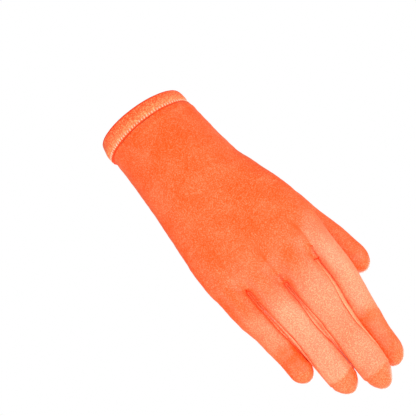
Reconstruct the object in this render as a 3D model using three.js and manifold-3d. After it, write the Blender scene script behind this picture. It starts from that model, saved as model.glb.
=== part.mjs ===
// Wrist length dress glove for the right hand, in stretch satin, in the form that it has when worn.
// Sizes are in millimetres. The centre of the cuff's mouth is the origin, the arm leaves along +Z
// and the fingers point along -Z. The thumb is on the +X side, the back of the hand faces -Y.

import * as THREE from "three";
import { mergeVertices } from "three/addons/utils/BufferGeometryUtils.js";
import Module from "manifold-3d";

// Cloth, seams and clearances
const clothWall = 1.2;
const hemWall = 2.2;
const seamGap = 0.3;
const fingerGap = 0.5;
const thumbGap = 0.6;

// Cuff and hand
const cuffWidth = 58;
const cuffDepth = 45;
const hemHeight = 11.2;
const hemFold = 0.9;
const hemBulge = 0.2;
const mouthSlant = 0.085;
const slantDepth = 24;
const stitchPinch = 0.6;
const palmLength = 113.3;
const knuckleBack = 14;
const knucklePalm = 15.5;
const knuckleEase = 1.2;
const knucklePower = 2.5;
const webFall = 24;
const webArch = 15;
const webArchCentre = 0.32;

// Fingers: reach below the knuckles, width at mid length and length of the rounded tip
const littleReach = 74;
const littleWidth = 15;
const littleTip = 8;
const ringReach = 94;
const ringWidth = 18;
const ringTip = 13;
const middleReach = 104;
const middleWidth = 20;
const middleTip = 15;
const indexReach = 96;
const indexWidth = 16.4;
const indexTip = 9.5;

// How the fingers lie: the parting of ring and middle finger, and the curl towards the palm
const partingOffset = 2;
const partingLean = 4.2;
const curlAtKnuckles = 8;
const curlAtTips = 24;

// Thumb: where it starts below the mouth, its reach, and how far it moves outwards
const thumbStart = 59.3;
const thumbReach = 96.5;
const thumbWidth = 20;
const thumbTip = 11;
const thumbOut = 21.5;
const thumbInset = 1.5;
const thumbRootDepth = 3;

// Strips between the fingers
const fourchetteWidth = 10;
const fourchetteEnd = 9;
const fourchettePoint = 0.35;
const stripTaperStart = 0.6;
const stripRise = 0.2;

// How far the panels' cutting bodies reach past the hand's edges, and past the parting of two
// fingers above the webs, as a share of the finger's width
const outsideShare = 1.2;
const knuckleLap = 0.25;

// Fineness of the facets
const handSides = 32;
const fingerSides = 14;
const fingerRows = 7;
const tipRows = 4;
const slabRows = 16;
const leastRowStep = 1;

// Hand from the mouth to the knuckles. at: share of palmLength. The other columns go
// from 0, the size of the cuff, to 1, the size at the knuckles.
const handTable = [
  { at: 0.08, ulnar: -0.04, radial: -0.04, back: 0.0, palm: 0.0 },
  { at: 0.2, ulnar: 0.04, radial: 0.02, back: 0.0, palm: -0.05 },
  { at: 0.41, ulnar: 0.22, radial: 0.11, back: 0.1, palm: 0.0 },
  { at: 0.51, ulnar: 0.36, radial: 0.2, back: 0.25, palm: 0.1 },
  { at: 0.58, ulnar: 0.45, radial: 0.38, back: 0.38, palm: 0.18 },
  { at: 0.68, ulnar: 0.58, radial: 0.6, back: 0.55, palm: 0.3 },
  { at: 0.77, ulnar: 0.74, radial: 0.8, back: 0.72, palm: 0.46 },
  { at: 0.88, ulnar: 0.93, radial: 0.94, back: 0.88, palm: 0.72 },
  { at: 1.0, ulnar: 1.0, radial: 1.0, back: 1.0, palm: 1.0 },
];

// End of the hand between the finger roots. at: share of webFall. wide and deep: shares of the
// sizes at the knuckles. power: how far the section is flattened.
const webTable = [
  { at: 0.3, wide: 0.985, deep: 0.9, power: 2.35 },
  { at: 0.6, wide: 0.95, deep: 0.77, power: 2.15 },
  { at: 0.85, wide: 0.89, deep: 0.55, power: 2 },
  { at: 0.96, wide: 0.82, deep: 0.3, power: 2 },
];

// Half widths of the fingers as shares of each finger's half width, half depth as a share of
// the same, and beside: 1 where the index lies beside the middle finger, less where it drops behind.
const fingerTable = [
  { at: 0.0, little: 1.19, ring: 1.11, middle: 1.1, index: 1.0, deep: 1.18, beside: 1.0 },
  { at: 0.12, little: 1.16, ring: 1.1, middle: 1.1, index: 0.98, deep: 1.16, beside: 0.98 },
  { at: 0.25, little: 1.13, ring: 1.09, middle: 1.11, index: 0.96, deep: 1.07, beside: 0.96 },
  { at: 0.4, little: 1.06, ring: 1.03, middle: 1.09, index: 0.99, deep: 0.98, beside: 0.94 },
  { at: 0.5, little: 0.99, ring: 1.01, middle: 1.0, index: 1.01, deep: 0.97, beside: 0.92 },
  { at: 0.6, little: 0.96, ring: 0.99, middle: 0.94, index: 1.01, deep: 0.95, beside: 0.89 },
  { at: 0.7, little: 0.93, ring: 0.98, middle: 0.92, index: 1.01, deep: 0.93, beside: 0.84 },
  { at: 0.8, little: 0.9, ring: 0.97, middle: 0.92, index: 1.0, deep: 0.91, beside: 0.78 },
  { at: 0.9, little: 0.89, ring: 0.95, middle: 0.88, index: 0.98, deep: 0.88, beside: 0.76 },
  { at: 1.0, little: 0.88, ring: 0.93, middle: 0.84, index: 0.93, deep: 0.84, beside: 0.75 },
];

// Thumb. at: share of thumbReach. out: share of thumbOut. forward: share of the way to the
// palm side of the index. wide and deep: shares of the thumb's half width.
const thumbTable = [
  { at: 0.0, out: 0.0, forward: 0.0, wide: 0.8, deep: 0.8 },
  { at: 0.2, out: 0.28, forward: 0.26, wide: 0.95, deep: 1.2 },
  { at: 0.38, out: 0.53, forward: 0.56, wide: 1.03, deep: 1.22 },
  { at: 0.53, out: 0.66, forward: 0.72, wide: 1.02, deep: 1.08 },
  { at: 0.68, out: 0.82, forward: 0.83, wide: 1.0, deep: 0.98 },
  { at: 0.85, out: 0.91, forward: 0.95, wide: 0.95, deep: 0.92 },
  { at: 1.0, out: 1.0, forward: 1.0, wide: 0.88, deep: 0.82 },
];

const fingers = {
  little: { reach: littleReach, width: littleWidth, tip: littleTip },
  ring: { reach: ringReach, width: ringWidth, tip: ringTip },
  middle: { reach: middleReach, width: middleWidth, tip: middleTip },
  index: { reach: indexReach, width: indexWidth, tip: indexTip },
};
const fingerNames = Object.keys(fingers);
const pairs = fingerNames.slice(1).map((second, i) => [fingerNames[i], second]);

const wasm = await Module();
wasm.setup();

// Smooth curves through the columns of a table, read at any place along it
function smoothTable(rows) {
  const names = Object.keys(rows[0]).filter((name) => name !== "at");
  const places = rows.map((row) => row.at);
  const values = rows.flatMap((row) => names.map((name) => row[name]));
  const curves = new THREE.CubicInterpolant(places, values, names.length);
  return (at) => {
    const found = curves.evaluate(at);
    return Object.fromEntries(names.map((name, i) => [name, found[i]]));
  };
}

const handAt = smoothTable(handTable);
const fingerAt = smoothTable(fingerTable);
const thumbAt = smoothTable(thumbTable);

// A closed solid from a geometry whose vertices are moved by place(vertex, u, v)
function solidFrom(geometry, place) {
  const position = geometry.attributes.position;
  const uv = geometry.attributes.uv;
  const vertex = new THREE.Vector3();
  for (let i = 0; i < position.count; i += 1) {
    vertex.fromBufferAttribute(position, i);
    const moved = place(vertex, uv.getX(i), uv.getY(i));
    position.setXYZ(i, moved.x, moved.y, moved.z);
  }
  geometry.deleteAttribute("normal");
  geometry.deleteAttribute("uv");
  const merged = mergeVertices(geometry, 1e-4);
  return new wasm.Manifold(
    new wasm.Mesh({
      numProp: 3,
      vertProperties: new Float32Array(merged.attributes.position.array),
      triVerts: new Uint32Array(merged.index.array),
    }),
  );
}

// A loft: the rows of a sphere are moved onto the stations, and its poles onto the first and last
function loft(stations, sides) {
  const rows = stations.length - 1;
  const sphere = new THREE.SphereGeometry(1, sides, rows);
  return solidFrom(sphere, (vertex, u, v) => {
    const station = stations[Math.round((1 - v) * rows)];
    const angle = 2 * Math.PI * u;
    const across = -Math.cos(angle);
    const down = -Math.sin(angle);
    return sectionPoint(station, across, down);
  });
}

// A point of a station's section: an ellipse with its own depth on either side, flattened
// where its power is above 2
function sectionPoint(station, across, down) {
  const deep = down < 0 ? station.back : station.palm;
  const flattened = (value) => Math.sign(value) * Math.abs(value) ** (2 / station.power);
  const point = station.centre.clone();
  point.addScaledVector(station.side, station.half * flattened(across));
  point.addScaledVector(station.front, deep * flattened(down));
  const offCentre = station.half > 0 ? point.x / station.half - station.low : 0;
  point.z += station.arch * offCentre * offCentre - station.slant * point.x;
  return point;
}

// A slab that follows the fingers down: corner(fall, right, front) gives its four edges
function slab(firstFall, lastFall, corner) {
  const box = new THREE.BoxGeometry(1, 1, 1, 1, 1, slabRows);
  return solidFrom(box, (vertex) => {
    const fall = THREE.MathUtils.lerp(lastFall, firstFall, vertex.z + 0.5);
    const edge = corner(fall, vertex.x > 0, vertex.y > 0);
    return new THREE.Vector3(edge.x, edge.y, -palmLength - fall);
  });
}

function joined(solids) {
  return solids.reduce((whole, solid) => whole.add(solid));
}

// Half width and half depth of a finger at a distance below the knuckles, its rounded tip left out
function halfWidth(name, fall) {
  const finger = fingers[name];
  const share = THREE.MathUtils.clamp(fall / finger.reach, 0, 1);
  return (finger.width / 2) * fingerAt(share)[name];
}

function halfDepth(name, fall) {
  const finger = fingers[name];
  const share = THREE.MathUtils.clamp(fall / finger.reach, 0, 1);
  return (finger.width / 2) * fingerAt(share).deep;
}

// Where the parting of ring and middle finger runs
function partingX(fall) {
  return partingOffset - (partingLean * fall) / middleReach;
}

function curlY(fall) {
  const slopeAtKnuckles = Math.tan(THREE.MathUtils.degToRad(curlAtKnuckles));
  const slopeAtTips = Math.tan(THREE.MathUtils.degToRad(curlAtTips));
  const down = Math.max(fall, 0);
  return slopeAtKnuckles * down + ((slopeAtTips - slopeAtKnuckles) * down * down) / (2 * middleReach);
}

// Centre line of a finger: each lies beside its neighbour, and the index drops behind the middle
// finger as far as their two round sections need
function fingerCentre(name, fall) {
  const height = -palmLength - fall;
  const ringX = partingX(fall) - fingerGap / 2 - halfWidth("ring", fall);
  const middleX = partingX(fall) + fingerGap / 2 + halfWidth("middle", fall);
  if (name === "ring") {
    return new THREE.Vector3(ringX, curlY(fall), height);
  }
  if (name === "little") {
    const apart = halfWidth("ring", fall) + fingerGap + halfWidth("little", fall);
    return new THREE.Vector3(ringX - apart, curlY(fall), height);
  }
  if (name === "middle") {
    return new THREE.Vector3(middleX, curlY(fall), height);
  }
  const apart = halfWidth("middle", fall) + fingerGap + halfWidth("index", fall);
  const share = THREE.MathUtils.clamp(fall / indexReach, 0, 1);
  const beside = Math.min(fingerAt(share).beside, 1);
  const behind = Math.sqrt(1 - beside * beside);
  return new THREE.Vector3(middleX + apart * beside, curlY(fall) + apart * behind, height);
}

// One section across a centre line. ahead is a point further along that line.
function sectionAcross(centre, ahead, half, deep) {
  const along = ahead.clone().sub(centre).normalize();
  const side = new THREE.Vector3(1, 0, 0);
  side.addScaledVector(along, -side.dot(along)).normalize();
  const front = side.clone().cross(along).normalize();
  return { centre, side, front, half, back: deep, palm: deep, power: 2, low: 0, arch: 0, slant: 0 };
}

// Distances along a finger: even steps down to the tip, then steps that round it off
function fallsOf(reach, tip, start) {
  const falls = [];
  for (let row = 0; row <= fingerRows; row += 1) {
    falls.push({ fall: THREE.MathUtils.lerp(start, reach - tip, row / fingerRows), size: 1 });
  }
  for (let row = 1; row <= tipRows; row += 1) {
    const angle = ((row / tipRows) * Math.PI) / 2;
    falls.push({ fall: reach - tip + tip * Math.sin(angle), size: row < tipRows ? Math.cos(angle) : 0 });
  }
  return falls;
}

// A finger from just above the knuckles to its tip. inset makes the hollow, a negative one a
// slightly larger body.
function fingerSolid(name, inset) {
  const { reach, tip } = fingers[name];
  const start = -clothWall - inset;
  const stations = fallsOf(reach - inset, tip - inset, start).map(({ fall, size }) => {
    const centre = fingerCentre(name, fall);
    const ahead = fingerCentre(name, fall + leastRowStep);
    const half = size * (halfWidth(name, fall) - inset);
    const deep = size * (halfDepth(name, fall) - inset);
    return sectionAcross(centre, ahead, half, deep);
  });
  const root = { ...stations[0], half: 0, back: 0, palm: 0 };
  return loft([root, ...stations], fingerSides);
}

const ulnarEdge = halfWidth("little", 0) - fingerCentre("little", 0).x + knuckleEase;
const radialEdge = halfWidth("index", 0) + fingerCentre("index", 0).x + knuckleEase / 2;

// A level section of the hand between its two edges
function handStation(height, ulnar, radial, back, palm, power) {
  return {
    centre: new THREE.Vector3((radial - ulnar) / 2, 0, height),
    side: new THREE.Vector3(1, 0, 0),
    front: new THREE.Vector3(0, 1, 0),
    half: (radial + ulnar) / 2,
    back,
    palm,
    power,
    low: 0,
    arch: 0,
    slant: 0,
  };
}

// The thumb's side of the hand at a depth below the mouth
function handEdgeAt(depthBelowMouth) {
  const row = handAt(depthBelowMouth / palmLength);
  return THREE.MathUtils.lerp(cuffWidth / 2, radialEdge, row.radial);
}

// How far the section leans: the mouth lies higher on the side of the little finger
function slantAt(depthBelowMouth) {
  return mouthSlant * THREE.MathUtils.clamp(1 - depthBelowMouth / slantDepth, 0, 1);
}

function handStationAt(depthBelowMouth, inset) {
  const { lerp } = THREE.MathUtils;
  const row = handAt(depthBelowMouth / palmLength);
  const station = handStation(
    -depthBelowMouth,
    lerp(cuffWidth / 2, ulnarEdge, row.ulnar) - inset,
    handEdgeAt(depthBelowMouth) - inset,
    lerp(cuffDepth / 2, knuckleBack, row.back) - inset,
    lerp(cuffDepth / 2, knucklePalm, row.palm) - inset,
    lerp(2, knucklePower, row.back),
  );
  station.slant = slantAt(depthBelowMouth);
  return station;
}

// The hand from firstDepth below the mouth to its end between the finger roots. The end is
// arched, so that the little finger parts higher up than the others.
function handSolid(firstDepth, inset) {
  const tableDepths = handTable.map((row) => row.at * palmLength);
  const depths = tableDepths.filter((depth) => depth > firstDepth + leastRowStep);
  const stations = [firstDepth, ...depths].map((depth) => handStationAt(depth, inset));
  for (const row of webTable) {
    const fall = row.at * webFall;
    const ulnar = ulnarEdge * row.wide - inset;
    const radial = radialEdge * row.wide - inset;
    const station = handStation(
      -palmLength - fall + inset * row.at,
      ulnar,
      radial,
      knuckleBack * row.deep - inset,
      knucklePalm * row.deep - inset,
      row.power,
    );
    station.centre.y = curlY(fall);
    station.low = webArchCentre;
    station.arch = webArch * row.at * row.at;
    stations.push(station);
  }
  const last = handStation(-palmLength - webFall + inset, 0, 0, 0, 0, knucklePower);
  last.centre.x = stations.at(-1).centre.x;
  last.centre.y = curlY(webFall);
  const top = { ...stations[0], half: 0, back: 0, palm: 0 };
  return loft([top, ...stations, last], handSides);
}

// Centre line of the thumb. It starts in the ball of the thumb and ends against the palm side
// of the index finger.
function thumbCentre(share) {
  const row = thumbAt(share);
  const height = thumbStart + thumbReach * share;
  const startX = handEdgeAt(thumbStart) - thumbInset - thumbWidth / 2;
  const x = startX + thumbOut * row.out;
  const tipFall = thumbStart + thumbReach - palmLength;
  const index = fingerCentre("index", tipFall);
  const apart = halfWidth("index", tipFall) + thumbGap + thumbWidth / 2;
  const sideways = startX + thumbOut - index.x;
  const tipY = index.y + Math.sqrt(Math.max(apart * apart - sideways * sideways, 0));
  return new THREE.Vector3(x, THREE.MathUtils.lerp(thumbRootDepth, tipY, row.forward), -height);
}

function thumbSolid(inset) {
  const stations = fallsOf(thumbReach - inset, thumbTip - inset, 0).map(({ fall, size }) => {
    const centre = thumbCentre(fall / thumbReach);
    const ahead = thumbCentre((fall + leastRowStep) / thumbReach);
    const { wide, deep } = thumbAt(fall / thumbReach);
    const halfWide = size * ((thumbWidth / 2) * wide - inset);
    const halfDeep = size * ((thumbWidth / 2) * deep - inset);
    return sectionAcross(centre, ahead, halfWide, halfDeep);
  });
  const root = { ...stations[0], half: 0, back: 0, palm: 0 };
  return loft([root, ...stations], fingerSides);
}

// Everything on the back of a finger and of the hand above it, or with side 1 on the palm side
function halfSpace(name, side) {
  const place = fingerNames.indexOf(name);
  const { width } = fingers[name];
  return slab(-palmLength - clothWall, middleReach + clothWall, (fall, right, front) => {
    const centre = fingerCentre(name, fall);
    const isOuter = front === side > 0;
    const spread = fall < webFall ? cuffDepth : width;
    const lap = fall < webFall ? width * knuckleLap : fingerGap / 2;
    const y = centre.y + side * (isOuter ? spread : seamGap / 2);
    const neighbour = fingerNames[place + (right ? 1 : -1)];
    if (!neighbour) {
      return { x: right ? radialEdge * outsideShare : -ulnarEdge * outsideShare, y };
    }
    const [first, second] = right ? [name, neighbour] : [neighbour, name];
    return { x: betweenX(first, second, fall, y) + (right ? lap : -lap), y };
  });
}

// The parting line between two neighbours at a height, as the x that belongs to a y
function betweenX(first, second, fall, y) {
  const a = fingerCentre(first, fall);
  const b = fingerCentre(second, fall);
  const share = halfWidth(first, fall) / (halfWidth(first, fall) + halfWidth(second, fall));
  const middle = a.clone().lerp(b, share);
  const slope = (b.y - a.y) / (b.x - a.x);
  return middle.x - (y - middle.y) * slope;
}

// Body that a finger's half of a strip is cut from, on the side of its neighbour. grow widens
// it for the cut in the panels.
function stripHalf(name, other, grow) {
  const isFirst = fingerNames.indexOf(name) < fingerNames.indexOf(other);
  const [first, second] = isFirst ? [name, other] : [other, name];
  const start = webFall * stripRise;
  const end = fingers[name].reach - fourchetteEnd;
  return slab(start - grow, end + grow, (fall, right, front) => {
    const centre = fingerCentre(name, fall);
    const pointed = THREE.MathUtils.smoothstep(fall / end, stripTaperStart, 1);
    const half = (fourchetteWidth / 2) * THREE.MathUtils.lerp(1, fourchettePoint, pointed) + grow;
    const y = centre.y + (front ? half : -half);
    const lap = (isFirst ? 1 : -1) * (fingerGap / 2 + grow);
    return { x: right === isFirst ? betweenX(first, second, fall, y) + lap : centre.x, y };
  });
}

function hemSolid() {
  const rows = [
    { depth: 0, out: -hemFold },
    { depth: hemFold, out: 0 },
    { depth: hemHeight / 2, out: hemBulge },
    { depth: hemHeight, out: -stitchPinch },
  ];
  const stations = rows.map((row) => handStationAt(row.depth, -row.out));
  const top = { ...stations[0], half: 0, back: 0, palm: 0 };
  const bottom = { ...stations.at(-1), half: 0, back: 0, palm: 0 };
  const hollow = [-hemFold, hemHeight + hemFold].map((depth) => {
    const station = handStationAt(hemFold, hemWall);
    station.centre.z = -depth;
    station.slant = slantAt(depth);
    return station;
  });
  const hollowTop = { ...hollow[0], half: 0, back: 0, palm: 0 };
  const hollowBottom = { ...hollow[1], half: 0, back: 0, palm: 0 };
  const body = loft([top, ...stations, bottom], handSides);
  return body.subtract(loft([hollowTop, ...hollow, hollowBottom], handSides));
}

function gloveSolids() {
  const bodyTop = hemHeight + seamGap;
  const hollow = joined([
    handSolid(bodyTop - clothWall, clothWall),
    ...fingerNames.map((name) => fingerSolid(name, clothWall)),
    thumbSolid(clothWall),
  ]);
  const outside = joined([
    handSolid(bodyTop - seamGap, -seamGap),
    ...fingerNames.map((name) => fingerSolid(name, -seamGap)),
  ]);
  const handWall = handSolid(bodyTop, 0).subtract(hollow);
  const fingerWalls = Object.fromEntries(
    fingerNames.map((name) => [name, fingerSolid(name, 0).subtract(hollow)]),
  );

  const solids = {};
  for (const [first, second] of pairs) {
    const halves = [stripHalf(first, second, 0), stripHalf(second, first, 0)];
    const sides = [fingerWalls[first].intersect(halves[0]), fingerWalls[second].intersect(halves[1])];
    solids[`fourchette_${second}_${first}`] = joined([handWall.intersect(joined(halves)), ...sides]);
  }
  const cuts = pairs.flatMap(([first, second]) => [
    stripHalf(first, second, seamGap),
    stripHalf(second, first, seamGap),
  ]);
  for (const [panel, side] of [["back_panel", -1], ["palm_panel", 1]]) {
    const halves = fingerNames.map((name) => halfSpace(name, side));
    const stalls = fingerNames.map((name, i) => fingerWalls[name].intersect(halves[i]));
    const hand = handWall.intersect(joined(halves));
    solids[panel] = joined([hand, ...stalls]).subtract(joined(cuts));
  }
  solids.thumb = thumbSolid(0).subtract(hollow).subtract(outside);
  solids.cuff_hem = hemSolid();
  return solids;
}

// Satin of the glove, the strips between the fingers a little deeper in colour and the doubled
// hem a little lighter
const satin = { color: 0xfd773e, roughness: 0.42, metalness: 0.0 };
const innerSatin = { color: 0xfb6c30, roughness: 0.48, metalness: 0.0 };
const hemSatin = { color: 0xfd8654, roughness: 0.5, metalness: 0.0 };
const finishes = {
  back_panel: satin,
  palm_panel: satin,
  thumb: satin,
  cuff_hem: hemSatin,
};

function meshOf(name, solid) {
  const { vertProperties, triVerts } = solid.getMesh();
  const geometry = new THREE.BufferGeometry();
  geometry.setAttribute("position", new THREE.BufferAttribute(vertProperties, 3));
  geometry.setIndex(new THREE.BufferAttribute(triVerts, 1));
  const mesh = new THREE.Mesh(geometry, new THREE.MeshStandardMaterial(finishes[name] ?? innerSatin));
  mesh.name = name;
  return mesh;
}

const glove = new THREE.Group();
for (const [name, solid] of Object.entries(gloveSolids())) {
  glove.add(meshOf(name, solid));
}

export default glove;
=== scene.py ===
"""Satin dress glove for the right hand: cloth panels with sewn seams, a turned hem and its stitching.

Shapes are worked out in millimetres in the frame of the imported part: the mouth of the cuff is the
origin, the arm leaves along +Z, the fingers point down, the thumb is on the +X side and the back
of the hand faces -Y. They are turned into metres when a piece is finished.
"""

import math
from collections import namedtuple

import bmesh
import bpy
import numpy as np
from mathutils import Matrix, Vector, noise
from mathutils.kdtree import KDTree


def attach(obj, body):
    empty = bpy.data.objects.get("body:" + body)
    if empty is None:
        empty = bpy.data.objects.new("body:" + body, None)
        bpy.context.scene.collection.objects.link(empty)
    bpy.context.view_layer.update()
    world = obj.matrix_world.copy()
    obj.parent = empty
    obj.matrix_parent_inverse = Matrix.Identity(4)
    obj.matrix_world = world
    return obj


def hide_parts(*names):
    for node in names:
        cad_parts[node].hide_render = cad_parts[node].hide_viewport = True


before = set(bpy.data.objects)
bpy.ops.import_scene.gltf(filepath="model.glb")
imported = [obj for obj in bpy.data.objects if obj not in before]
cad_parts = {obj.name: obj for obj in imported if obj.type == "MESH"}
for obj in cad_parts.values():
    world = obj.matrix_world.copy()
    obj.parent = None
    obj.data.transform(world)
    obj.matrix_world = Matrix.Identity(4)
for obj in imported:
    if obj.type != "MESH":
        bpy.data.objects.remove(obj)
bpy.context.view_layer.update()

MILLIMETRE = 0.001

# Photograph: its size in pixels and the pixel of the mouth's centre
PHOTO_SIZE = 416
MOUTH_PIXEL = (142.8, 121.7)
MOUTH_POINT = (0, 0, -0.00135)
CAMERA_LENS = 175
CAMERA_SENSOR = 36
CAMERA_DISTANCE = 1.2
CAMERA_BELOW = 21
CAMERA_ROLL = 49

# Cuff and hand
CUFF_WIDTH = 58
CUFF_DEPTH = 45
HEM_HEIGHT = 11.2
HEM_WALL = 2.2
MOUTH_SLANT = 0.085
SLANT_DEPTH = 24
PALM_LENGTH = 113.3
KNUCKLE_BACK = 14
KNUCKLE_PALM = 15.5
KNUCKLE_EASE = 1.2
KNUCKLE_POWER = 2.5
WEB_FALL = 24
WEB_ARCH = 15
WEB_ARCH_CENTRE = 0.32

# Fingers, from the little finger to the index: reach below the knuckles, width, rounded tip
FINGERS = {
    "little": {"reach": 74, "width": 15, "tip": 8},
    "ring": {"reach": 94, "width": 18, "tip": 13},
    "middle": {"reach": 104, "width": 20, "tip": 15},
    "index": {"reach": 96, "width": 16.4, "tip": 9.5},
}
NAMES = tuple(FINGERS)
PAIRS = tuple(zip(NAMES, NAMES[1:]))
WEB_ENDS = {("little", "ring"): 8, ("ring", "middle"): 26, ("middle", "index"): 28}
WEB_TOP = -8
WEB_DEPTH_AT_TOP = 0.95
WEB_DEPTH_AT_END = 0.72
WEB_ROUNDING = 4
LONGEST = FINGERS["middle"]["reach"]
PARTING_OFFSET = 2
PARTING_LEAN = 4.2
CURL_AT_KNUCKLES = 8
CURL_AT_TIPS = 24

# Thumb
THUMB_START = 59.3
THUMB_REACH = 96.5
THUMB_WIDTH = 20
THUMB_TIP = 11
THUMB_OUT = 21.5
THUMB_INSET = 1.5
THUMB_ROOT_DEPTH = 3
THUMB_GAP = 0.6

# Strips between the fingers
STRIP_WIDTH = 11.4
STRIP_END = 9
STRIP_POINT = 0.35
STRIP_TAPER_START = 0.6
STRIP_TOP = 2

# Making of the skin: its fineness and smoothing, and what the fingers lose by that or gain
VOXEL = 0.79
SMOOTHING = 8
SMOOTHING_LOSS = 0.25
FINGER_SWELL = 0.25
REFINED_REACH = 1.0
WALL = 1.0
SHARE_SHARPNESS = 14
THUMB_BLEND = 2.5

# Tubes that the skin is made over: where the hand's tube starts, and their rings and sides
SKIN_TOP = -4
HAND_RINGS = 150
HAND_SIDES = 144
WEB_RINGS = 40
FINGER_RINGS = 90
TIP_RINGS = 22
TUBE_SIDES = 72

# How far the fingers and the thumb stand apart while the skin is made
APART = 3.2
APART_FALL = 26
THUMB_APART = 4.5

# Closing of the fingers: how far neighbours overlap where they touch, and down to which share of
# the shorter one's reach they are held together
CONTACT = 0.03
TOGETHER = 0.76

# Hand from the mouth to the knuckles. at: share of PALM_LENGTH. The other columns go from 0,
# the size of the cuff, to 1, the size at the knuckles.
HAND_COLUMNS = ("at", "ulnar", "radial", "back", "palm")
HAND_ROWS = (
    (0.08, -0.04, -0.04, 0.0, 0.0),
    (0.2, 0.04, 0.02, 0.0, -0.05),
    (0.41, 0.22, 0.11, 0.1, 0.0),
    (0.51, 0.36, 0.2, 0.25, 0.1),
    (0.58, 0.45, 0.38, 0.38, 0.18),
    (0.68, 0.58, 0.6, 0.55, 0.3),
    (0.77, 0.74, 0.8, 0.72, 0.46),
    (0.88, 0.93, 0.94, 0.88, 0.72),
    (1.0, 1.0, 1.0, 1.0, 1.0),
)

# End of the hand between the finger roots. at: share of WEB_FALL. wide and deep: shares of the
# sizes at the knuckles. power: how far the section is flattened.
WEB_COLUMNS = ("at", "wide", "deep", "power")
WEB_ROWS = (
    (0.0, 1.0, 1.0, 2.5),
    (0.3, 0.985, 0.9, 2.35),
    (0.6, 0.95, 0.77, 2.15),
    (0.85, 0.89, 0.55, 2.0),
    (0.96, 0.82, 0.3, 2.0),
)

# Half widths of the fingers as shares of each finger's half width, half depth as a share of the
# same, and beside: 1 where the index lies beside the middle finger, less where it drops behind.
FINGER_COLUMNS = ("at", "little", "ring", "middle", "index", "deep", "beside")
FINGER_ROWS = (
    (0.0, 1.19, 1.11, 1.1, 1.0, 1.18, 1.0),
    (0.12, 1.16, 1.1, 1.1, 0.98, 1.16, 0.98),
    (0.25, 1.13, 1.09, 1.11, 0.96, 1.07, 0.96),
    (0.4, 1.06, 1.03, 1.09, 0.96, 0.98, 0.94),
    (0.5, 0.99, 1.01, 1.0, 0.96, 0.97, 0.92),
    (0.6, 0.96, 0.99, 0.94, 0.97, 0.95, 0.89),
    (0.7, 0.93, 0.98, 0.92, 0.98, 0.93, 0.84),
    (0.8, 0.9, 0.97, 0.92, 0.97, 0.91, 0.78),
    (0.9, 0.89, 0.95, 0.88, 0.95, 0.88, 0.76),
    (1.0, 0.88, 0.93, 0.84, 0.93, 0.84, 0.75),
)

# Thumb. at: share of THUMB_REACH. out: share of THUMB_OUT. forward: share of the way to the palm
# side of the index. wide and deep: shares of the thumb's half width.
THUMB_COLUMNS = ("at", "out", "forward", "wide", "deep")
THUMB_ROWS = (
    (0.0, 0.0, 0.0, 0.8, 0.8),
    (0.2, 0.28, 0.26, 0.95, 1.2),
    (0.38, 0.53, 0.56, 1.03, 1.22),
    (0.53, 0.66, 0.72, 1.02, 1.08),
    (0.68, 0.82, 0.83, 1.0, 0.98),
    (0.85, 0.93, 0.95, 0.94, 0.92),
    (1.0, 1.07, 1.0, 0.84, 0.8),
)


class SmoothTable:
    """Smooth curves through the columns of a table, read at any places along its first column."""

    def __init__(self, columns, rows):
        numbers = np.array(rows, dtype=float)
        self.places = numbers[:, 0]
        self.columns = dict(zip(columns[1:], numbers[:, 1:].T))

    def read(self, name, at):
        values = self.columns[name]
        slopes = np.gradient(values, self.places)
        at = np.clip(at, self.places[0], self.places[-1])
        low = np.clip(np.searchsorted(self.places, at, side="right") - 1, 0, len(values) - 2)
        span = self.places[low + 1] - self.places[low]
        t = (at - self.places[low]) / span
        rise = values[low + 1] - values[low]
        bend_in = slopes[low] * span - rise
        bend_out = rise - slopes[low + 1] * span
        return values[low] + t * rise + t * (1 - t) * ((1 - t) * bend_in + t * bend_out)


hand_table = SmoothTable(HAND_COLUMNS, HAND_ROWS)
web_table = SmoothTable(WEB_COLUMNS, WEB_ROWS)
finger_table = SmoothTable(FINGER_COLUMNS, FINGER_ROWS)
thumb_table = SmoothTable(THUMB_COLUMNS, THUMB_ROWS)


def mix(first, second, share):
    return first + (second - first) * share


def ease(value, start, end):
    """0 before start, 1 after end, smooth between them."""
    t = np.clip((value - start) / (end - start), 0, 1)
    return t * t * (3 - 2 * t)


def bump(value, centre, width):
    """A soft hump of height 1."""
    return np.exp(-(((value - centre) / width) ** 2))


# Sizes and centre lines of the fingers


def half_width(name, fall):
    finger = FINGERS[name]
    return finger["width"] / 2 * finger_table.read(name, fall / finger["reach"])


def half_depth(name, fall):
    finger = FINGERS[name]
    return finger["width"] / 2 * finger_table.read("deep", fall / finger["reach"])


def curl(fall):
    """How far the fingers lie towards the palm."""
    slope_at_knuckles = math.tan(math.radians(CURL_AT_KNUCKLES))
    slope_at_tips = math.tan(math.radians(CURL_AT_TIPS))
    down = np.maximum(fall, 0)
    return slope_at_knuckles * down + (slope_at_tips - slope_at_knuckles) * down**2 / (2 * LONGEST)


def finger_centre(name, fall):
    """Centre line of a finger: each lies beside its neighbour, and the index drops behind."""
    parting = PARTING_OFFSET - PARTING_LEAN * fall / LONGEST
    gap = 2 * FINGER_SWELL
    ring_x = parting - gap / 2 - half_width("ring", fall)
    middle_x = parting + gap / 2 + half_width("middle", fall)
    if name == "ring":
        return ring_x, curl(fall)
    if name == "little":
        return ring_x - half_width("ring", fall) - gap - half_width("little", fall), curl(fall)
    if name == "middle":
        return middle_x, curl(fall)
    apart = half_width("middle", fall) + gap + half_width("index", fall)
    beside = np.minimum(finger_table.read("beside", fall / FINGERS["index"]["reach"]), 1)
    return middle_x + apart * beside, curl(fall) + apart * np.sqrt(1 - beside**2)


def apart_by(name, fall):
    """How far a finger stands off sideways while the skin is made."""
    place = NAMES.index(name) - (len(NAMES) - 1) / 2
    return place * APART * ease(fall, 0, APART_FALL)


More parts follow.
